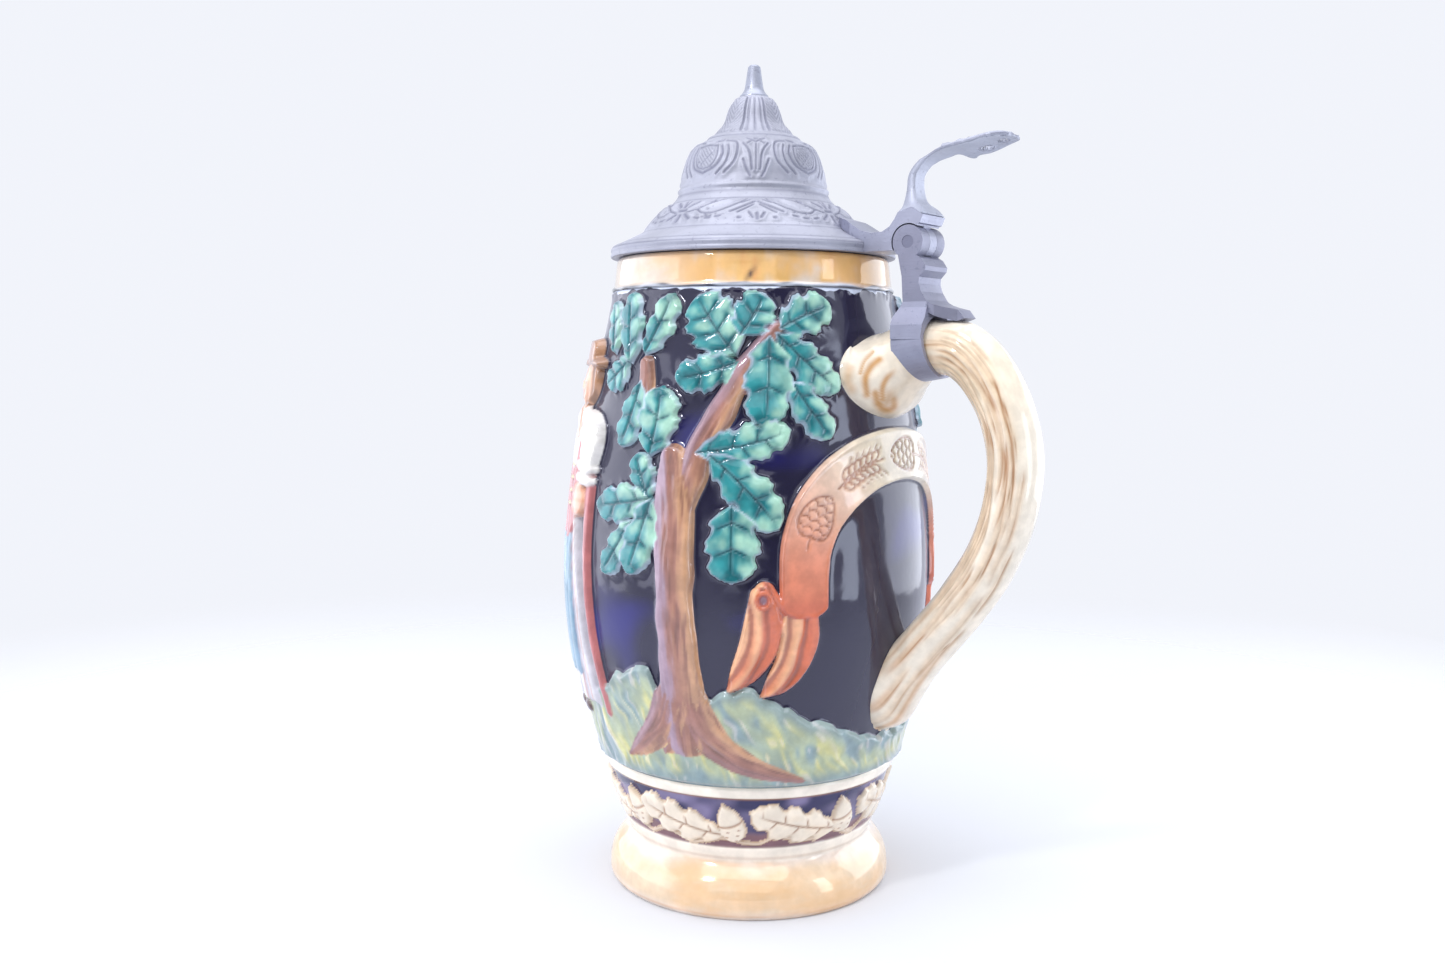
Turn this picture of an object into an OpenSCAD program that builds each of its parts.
// Half-litre relief beer stein with a hinged pewter lid.
// The mug's axis is Z, its foot stands on Z = 0, and the handle points along +X.

/* [Mug] */
// Height of the drinking rim above the table
rim_z = 172; // [170:0.5:174]
// Radius of the drinking rim
rim_r = 37.5; // [37:0.1:38]
// Largest radius of the barrel-shaped belly, without its relief
belly_r = 49.2; // [48.5:0.1:50]
// Height of the largest radius
belly_z = 90; // [86:1:94]
// Depth of the moulded relief, which the belly wears at its middle depth
relief_t = 2.4; // [1.6:0.1:3]
// Radius of the foot
foot_r = 39.6; // [38.5:0.1:40.5]
// Radius of the narrow neck above the foot
neck_r = 34.2; // [33.5:0.1:35]
// Thickness of the fired clay wall
wall = 6; // [5:0.5:7]
// Thickness of the floor
floor_t = 8; // [7:0.5:10]

/* [Handle] */
// Thickness of the grip, measured towards the mug
grip_t = 13.4; // [13:0.1:14]
// Width of the grip, measured across the hand
grip_w = 16; // [15.5:0.1:16.6]
// Distance from the mug's axis to the middle of the grip where it is farthest out
grip_x = 78.8; // [78:0.1:79.6]

/* [Lid] */
// Radius of the lid's lower edge
lid_r = 39.1; // [38.8:0.1:39.6]
// Gap between the closed lid and the drinking rim
lid_gap = 0.2; // [0.1:0.05:0.3]
// Thickness of the pewter collar that centres the lid in the mouth
collar_t = 1.7; // [1.4:0.1:2]
// Radius of that collar
collar_r = 30.9; // [30:0.1:31]
// Height of the lid and its finial above the rim
lid_h = 52.6; // [52:0.1:54]

/* [Hinge] */
// Distance from the mug's axis to the hinge pin
hinge_x = 51.2; // [51:0.1:52]
// Height of the hinge pin above the rim
hinge_up = 2.3; // [2:0.1:2.6]
// Radius of the hinge rings
ring_r = 4.2; // [4.1:0.1:4.6]
// Width of the hinge across all three rings
hinge_w = 12; // [11:0.5:13]
// Radius of the hinge pin
pin_r = 1.3; // [1.1:0.1:1.4]
// Radius of the pewter plugs that hide the pin's ends
plug_r = 1.6; // [1.5:0.1:1.9]
// Length of the thumb lift's tongue
tongue_l = 23.6; // [23:0.2:25]
// Width of the tongue at its widest
tongue_w = 18; // [17:0.5:20]

/* [Hidden] */
$fn = 96;

cream = "#efe3cf";
cobalt = "#23234f";
pewter = "#9a9cae";
steel = "#8c8f94";

hinge_z = rim_z + hinge_up;
ring_w = hinge_w / 3;      // each of the three hinge rings
side_gap = 0.12;           // between neighbouring rings
swing_gap = 0.35;          // between a ring and the pocket that it turns in
seat_gap = 0.02;           // between the pin or a plug and the ring that holds it
run_gap = 0.05;            // between the pin and the ring that turns on it
plug_t = 1.4;
plug_inset = 0.1;
far = 60;                  // reaches past everything that it cuts

// A point of a Catmull-Rom curve, and a curve of n steps between neighbouring points
function blend_point(a, b, c, d, t) =
    0.5 * (2 * b + (c - a) * t + (2 * a - 5 * b + 4 * c - d) * t * t + (3 * b - a - 3 * c + d) * t * t * t);
function curve(p, n) = [
    for (i = [0 : len(p) - 2]) for (k = [0 : n - 1])
        blend_point(p[max(i - 1, 0)], p[i], p[i + 1], p[min(i + 2, len(p) - 1)], k / n),
    p[len(p) - 1]
];
function ellipse(a, b, n) = [for (i = [0 : n - 1]) [a * cos(i * 360 / n), b * sin(i * 360 / n)]];

// A closed skin over rings of points, which all have the same number of sides
function middle(ring) = [for (axis = [0 : 2]) [for (p = ring) p[axis]] * [for (p = ring) 1 / len(ring)]];
module skin(rings) {
    sides = len(rings[0]);
    last = len(rings) - 1;
    low = len(rings) * sides;
    points = concat([for (ring = rings) for (p = ring) p], [middle(rings[0]), middle(rings[last])]);
    walls = [
        for (i = [0 : last - 1]) for (k = [0 : sides - 1])
            let (a = i * sides + k, b = i * sides + (k + 1) % sides)
                each [[a, b, b + sides], [a, b + sides, a + sides]]
    ];
    ends = [
        for (k = [0 : sides - 1]) let (next = (k + 1) % sides)
            each [[next, k, low], [last * sides + k, last * sides + next, low + 1]]
    ];
    polyhedron(points, concat(walls, ends), convexity = 6);
}

// Outside of the mug, as [radius, height]: foot and neck, frieze, belly with its relief, rim band
frieze_z = 32.5;
frieze_r = foot_r + 0.4;
panel_z = 36;
band_z = rim_z - 8.8;
band_r = rim_r + 0.6;
skin_t = relief_t / 2;
foot_line = curve([[foot_r - 1.2, 0], [foot_r - 0.2, 0.9], [foot_r, 3.5], [foot_r - 1.1, 8.3],
                   [foot_r - 4, 12.2], [neck_r, 14.6], [neck_r + 0.6, 17], [neck_r + 2.6, 22.5],
                   [frieze_r - 1.3, 29], [frieze_r, frieze_z], [frieze_r + 1, panel_z]], 3);
belly_line = curve([[frieze_r + 1.1 + skin_t, panel_z + 0.4], [belly_r - 5.1 + skin_t, 48],
                    [belly_r - 1.4 + skin_t, 67], [belly_r + skin_t, belly_z],
                    [belly_r - 1.5 + skin_t, belly_z + 20], [belly_r - 6.2 + skin_t, belly_z + 49],
                    [band_r + 0.2 + skin_t, band_z - 0.4]], 5);
rim_line = [[band_r, band_z], [rim_r + 0.1, rim_z - 3], [rim_r, rim_z - 1.2], [rim_r - 0.4, rim_z - 0.3],
            [rim_r - 1.1, rim_z]];

// Inside of the mug, from the mouth down to the floor
mouth_r = rim_r - wall + 0.3;
cavity_line = curve([[mouth_r + 0.6, rim_z], [mouth_r, rim_z - 1.5], [mouth_r, rim_z - 12],
                     [belly_r - wall - 5.8, belly_z + 46], [belly_r - wall, belly_z],
                     [belly_r - wall - 4.6, 50], [frieze_r - wall, 30], [neck_r - wall + 0.8, 17],
                     [neck_r - wall - 3, floor_t + 1.2], [neck_r - wall - 8, floor_t]], 4);

groove_r = 31.5;           // turned groove that leaves the foot ring proud
groove_w = 2.4;
groove_h = 1;

module mug_body() {
    color(cobalt)
        difference() {
            rotate_extrude() polygon(concat([[0, 0]], foot_line, belly_line, rim_line, cavity_line,
                                            [[0, floor_t]]));
            translate([0, 0, -1])
                difference() {
                    cylinder(r = groove_r + groove_w / 2, h = groove_h + 1);
                    translate([0, 0, -1]) cylinder(r = groove_r - groove_w / 2, h = groove_h + 3);
                }
        }
}

// Middle of the handle as [x, height below the rim], with its half thickness and half width there
half_t = grip_t / 2;
half_w = grip_w / 2;
handle_line = [
    [[38.5, -31.6], [12.2, 17.6]], [[42.4, -30.6], [11.4, 16.2]], [[46.8, -27.8], [9.2, 12.4]],
    [[51.4, -24.8], [7.7, 9.4]], [[57.6, -24], [half_t + 0.4, half_w]],
    [[64.8, -25.2], [half_t + 0.4, half_w]], [[71.2, -31], [half_t + 0.2, half_w]],
    [[76.4, -40.4], [half_t, half_w]], [[grip_x, -52], [half_t, half_w]], [[77.2, -65.5], [half_t, half_w]],
    [[72.4, -77.8], [half_t, half_w]], [[65.6, -88.2], [half_t, half_w]],
    [[58.2, -97.4], [half_t, half_w + 0.2]], [[52, -105], [half_t + 0.3, half_w + 0.6]],
    [[47.6, -110.2], [8.2, 9.2]], [[44.6, -112.6], [10.6, 10]], [[42.2, -113.2], [12, 10.4]]
];
handle_steps = 4;
handle_sides = 24;

module mug_handle() {
    line = curve([for (p = handle_line) p[0]], handle_steps);
    size = curve([for (p = handle_line) p[1]], handle_steps);
    last = len(line) - 1;
    function heading(i) = let (d = line[min(i + 1, last)] - line[max(i - 1, 0)]) d / norm(d);
    function ring(i) = let (h = heading(i)) [
        for (e = ellipse(size[i][0], size[i][1], handle_sides))
            [line[i][0] - h[1] * e[0], e[1], rim_z + line[i][1] + h[0] * e[0]]
    ];
    color(cream) skin([for (i = [0 : last]) ring(i)]);
}

module across(w) {
    // Lays an [x, z] outline down and gives it the width w across the handle
    rotate([90, 0, 0]) translate([0, 0, -w / 2]) linear_extrude(w) children();
}

// Pewter band that is closed round the handle, with shoulders that rise to the hinge upright
band_x = 53.5;
band_up = rim_z - 24;
band_tilt = -10;
band_w = 8.6;
band_t = 1.3;
band_in = [7.25, 8.75];    // half height and half width of the band's opening
seat_z = rim_z - 12.6;
seat_x = [50.1, 56.8];

module through_band(length, grow) {
    translate([band_x, 0, band_up]) rotate([0, band_tilt, 0]) rotate([0, 90, 0])
        translate([0, 0, -length / 2]) linear_extrude(length)
            polygon(ellipse(band_in[0] + grow, band_in[1] + grow, 48));
}

module handle_band() {
    shoulder_line = [[band_x - 4.6, band_up + 2], [band_x - 5.1, band_up + 7.4], [seat_x[0], seat_z],
                     [seat_x[1], seat_z], [band_x + 4, band_up + 7.4], [band_x + 3.8, band_up + 2]];
    half_plan = [[band_in[1] + band_t - 0.1, band_up + 2], [band_in[1] + band_t - 0.6, band_up + 5.6],
                 [hinge_w / 2 + 0.3, seat_z - 1.4], [hinge_w / 2, seat_z]];
    plan = concat(half_plan, [for (i = [len(half_plan) - 1 : -1 : 0]) [-half_plan[i][0], half_plan[i][1]]]);
    color(pewter)
        difference() {
            union() {
                through_band(band_w, band_t);
                intersection() {
                    across(far) polygon(shoulder_line);
                    rotate([90, 0, 90]) linear_extrude(far + hinge_x) polygon(plan);
                }
            }
            through_band(far, 0);
        }
}

// What is drawn round the hinge pin, and a cylinder along it from y0 to y1
module at_hinge() { translate([hinge_x, 0, hinge_z]) children(); }
module pin_shape(r, y0, y1) {
    translate([0, y0, 0]) rotate([-90, 0, 0]) cylinder(r = r, h = y1 - y0);
}

// Riser from the band to the two outer hinge rings, with a tail that lies on the handle
seat_drop = seat_z - hinge_z;
riser_line = [[seat_x[0] - hinge_x, seat_drop], [-1.5, -8.6], [-2.7, -3], [0, 0], [2.4, -3.4],
              [3.8, -4.2], [5.1, -6.1], [4.9, -7.2], [3.4, -8.8], [3.3, -10.4], [4, -12.4],
              [seat_x[1] - hinge_x, seat_drop]];
tail_line = concat(curve([[3.4, -11.8], [4.6, -13.7], [7, -15.6], [12.9, -17]], 3), [[14.6, -19.1]],
                   curve([[12.6, -19.8], [8.6, -18.8], [5.4, -17.2], [4.2, -14.8]], 3));
half_tail = [[0, hinge_w / 2], [7.6, hinge_w / 2], [10.6, 4.4], [12.8, 3.4], [15.6, 3.2]];

module hinge_upright() {
    color(pewter)
        at_hinge() difference() {
            union() {
                across(hinge_w) polygon(riser_line);
                pin_shape(ring_r, -hinge_w / 2, hinge_w / 2);
                intersection() {
                    across(hinge_w) polygon(tail_line);
                    translate([0, 0, -far / 2]) linear_extrude(far)
                        polygon(concat(half_tail, [for (i = [len(half_tail) - 1 : -1 : 0])
                                                      [half_tail[i][0], -half_tail[i][1]]]));
                }
            }
            pin_shape(ring_r + swing_gap, -ring_w / 2, ring_w / 2);
            across(ring_w) polygon([[-far, -3], [-far, far], [far, far], [far, 2], [0, -3]]);
            pin_shape(pin_r + seat_gap, -hinge_w, hinge_w);
            pin_shape(plug_r + seat_gap, hinge_w / 2 - plug_t, hinge_w);
            pin_shape(plug_r + seat_gap, -hinge_w, plug_t - hinge_w / 2);
        }
}

module hinge_pin() {
    half_l = hinge_w / 2 - plug_t - 0.05;
    color(steel) at_hinge() pin_shape(pin_r, -half_l, half_l);
}

module pin_plug_left() {
    color(pewter) at_hinge() pin_shape(plug_r, hinge_w / 2 - plug_t, hinge_w / 2 - plug_inset);
}

module pin_plug_right() {
    color(pewter) at_hinge() pin_shape(plug_r, plug_inset - hinge_w / 2, plug_t - hinge_w / 2);
}

// Outside of the cover as [radius, height above the rim]
// Edge, flange, floral band, cove, bead, dome, step and cap, one after the other
cap_top = 44;
cover_line = concat(
    [[lid_r, lid_gap], [lid_r, 1], [lid_r - 0.3, 1.2], [lid_r, 1.4], [lid_r, 2.6]],
    curve([[lid_r - 0.7, 3.3], [lid_r - 4.7, 5], [lid_r - 8.4, 7.1]], 4),
    curve([[30, 7.4], [28.6, 9], [26, 12], [23.3, 14.1]], 3),
    curve([[23, 14.3], [21.3, 16], [20.5, 17.9]], 3),
    [[20.8, 18.3], [20.7, 18.8], [20.1, 19.1]],
    curve([[20, 19.5], [19.3, 23], [18.2, 26], [16.2, 30], [13.7, 31.7]], 4),
    [[13.3, 31.9], [12.8, 32.6], [11.4, 33.1]],
    curve([[11.1, 33.5], [9.7, 35], [8.1, 37.4], [7.3, 40], [5.6, 43], [4.1, cap_top]], 3)
);
dome_r = 20.4;             // inside of the dome at the cove
hollow_line = concat(
    [[collar_r - collar_t, 2]],
    curve([[29, 5.2], [26.4, 9.6], [dome_r, 14.8], [17.9, 20], [16.8, 25.4], [13.4, 30], [8.2, 33.8],
           [6, 38], [3, 40.4]], 3)
);
finial_z = rim_z + cap_top;
spigot_r = 1.1;
spigot_h = 2.6;
function raised(line) = [for (p = line) [p[0], p[1] + rim_z]];

module lid_cover() {
    color(pewter)
        difference() {
            union() {
                rotate_extrude() polygon(raised(concat([[0, lid_gap]], cover_line, [[0, cap_top]])));
                translate([0, 0, rim_z - 2.8]) cylinder(r = collar_r, h = 3.5);
            }
            translate([0, 0, rim_z - 4]) cylinder(r = collar_r - collar_t, h = 6.01);
            rotate_extrude() polygon(raised(concat([[0, 2]], hollow_line, [[0, 40.4]])));
            translate([0, 0, finial_z - spigot_h - 0.2]) cylinder(r = spigot_r + seat_gap, h = spigot_h + 1);
        }
}

module lid_finial() {
    tip = lid_h - cap_top;
    color(pewter)
        translate([0, 0, finial_z]) {
            rotate_extrude() polygon(concat([[0, 0], [4, 0], [3.9, 0.4]],
                curve([[3.4, 0.9], [2.7, 2], [2.3, 4], [1.7, tip - 0.5]], 3), [[1.2, tip], [0, tip]]));
            translate([0, 0, -spigot_h]) cylinder(r = spigot_r, h = spigot_h + 0.5);
        }
}

// Arm soldered to the lid's flange, with the head that carries the middle ring and the thumb lift
head_top = [[4.2, 6.5], [0.7, 8.5], [-2.9, 7.4]];
arm_line = concat([[-25, -2], [-4, -2], [0, 0], [2.6, 4.3], [3.3, 4.5]], head_top,
                  [[-3.9, 5.7], [-5.2, 4], [-7.3, 2.8], [-10.5, 2.6], [-13.7, 3.5], [-18.5, 6.5],
                   [-22.6, 7.8]]);
half_arm = [[-22.6, 0], [-22, 2.6], [-20, 4.5], [-17, 5.7], [-14, hinge_w / 2], [8, hinge_w / 2]];

module lid_shank() {
    outer_l = ring_w + hinge_w;
    color(pewter)
        difference() {
            at_hinge() difference() {
                union() {
                    intersection() {
                        across(hinge_w) polygon(arm_line);
                        translate([0, 0, -far / 2]) linear_extrude(far)
                            polygon(concat(half_arm, [for (i = [len(half_arm) - 1 : -1 : 1])
                                                         [half_arm[i][0], -half_arm[i][1]]]));
                    }
                    pin_shape(ring_r, side_gap - ring_w / 2, ring_w / 2 - side_gap);
                }
                pin_shape(ring_r + swing_gap, ring_w / 2 - side_gap, outer_l);
                pin_shape(ring_r + swing_gap, -outer_l, side_gap - ring_w / 2);
                pin_shape(pin_r + run_gap, -outer_l, outer_l);
            }
            rotate_extrude() polygon(raised(concat([[0, -1], [lid_r, -1]], cover_line, [[0, cap_top]])));
        }
}

// Thumb lift: a stem that is let into the head, and an arched tongue with a rounded tip
tongue_x = 1.4;
wide = tongue_w / 2;
// Stations of the stem, from the pin: [x, z, direction, half thickness, half width]
stem_line = [[0.65, 7.2, 84, 3.4, 5.9], [0.2, 8.6, 88, 2.7, 4.5], [-0.9, 10.2, 92, 1.75, 3.2],
             [-1.1, 13, 91, 1.2, 2.6], [-1.05, 16.2, 84, 1.05, 2.4], [-0.2, 18.1, 60, 0.9, 2.4],
             [1.5, 19.9, 42, 0.7, 2.6]];
// Stations of the tongue: [share of its length, height of its ridge, half width]
tongue_line = [[0.1, 21.4, 3.4], [0.2, 22.5, 4.3], [0.29, 23.2, 4.8], [0.35, 23.5, wide - 1],
               [0.4, 23.7, wide], [0.47, 23.9, wide - 0.9], [0.58, 24.3, wide - 0.6], [0.7, 24.8, wide - 1],
               [0.8, 25.2, wide - 2.4], [0.9, 25.4, wide - 4.2], [0.96, 25.2, wide - 5.7], [1, 24.7, 2]];
tongue_t = 1.2;
droop = 0.03;              // fall of the tongue's surface for each square millimetre beside its ridge
lift_cells = 6;

module thumb_lift() {
    function edge(hw) = [for (k = [-lift_cells : lift_cells]) hw * k / lift_cells];
    function stem_side(s, side) = [
        for (y = edge(s[4])) [s[0] - sin(s[2]) * s[3] * side, y, s[1] + cos(s[2]) * s[3] * side]
    ];
    function tongue_side(s, drop) = [
        for (y = edge(s[2])) [tongue_x + s[0] * tongue_l, y, s[1] - droop * y * y - drop]
    ];
    function ring(top, low) = concat(top, [for (k = [len(low) - 1 : -1 : 0]) low[k]]);
    color(pewter) at_hinge()
        skin(concat([for (s = stem_line) ring(stem_side(s, 1), stem_side(s, -1))],
                    [for (s = tongue_line) ring(tongue_side(s, 0), tongue_side(s, tongue_t))]));
}

mug_body();
mug_handle();
handle_band();
hinge_upright();
hinge_pin();
pin_plug_left();
pin_plug_right();
lid_cover();
lid_finial();
lid_shank();
thumb_lift();
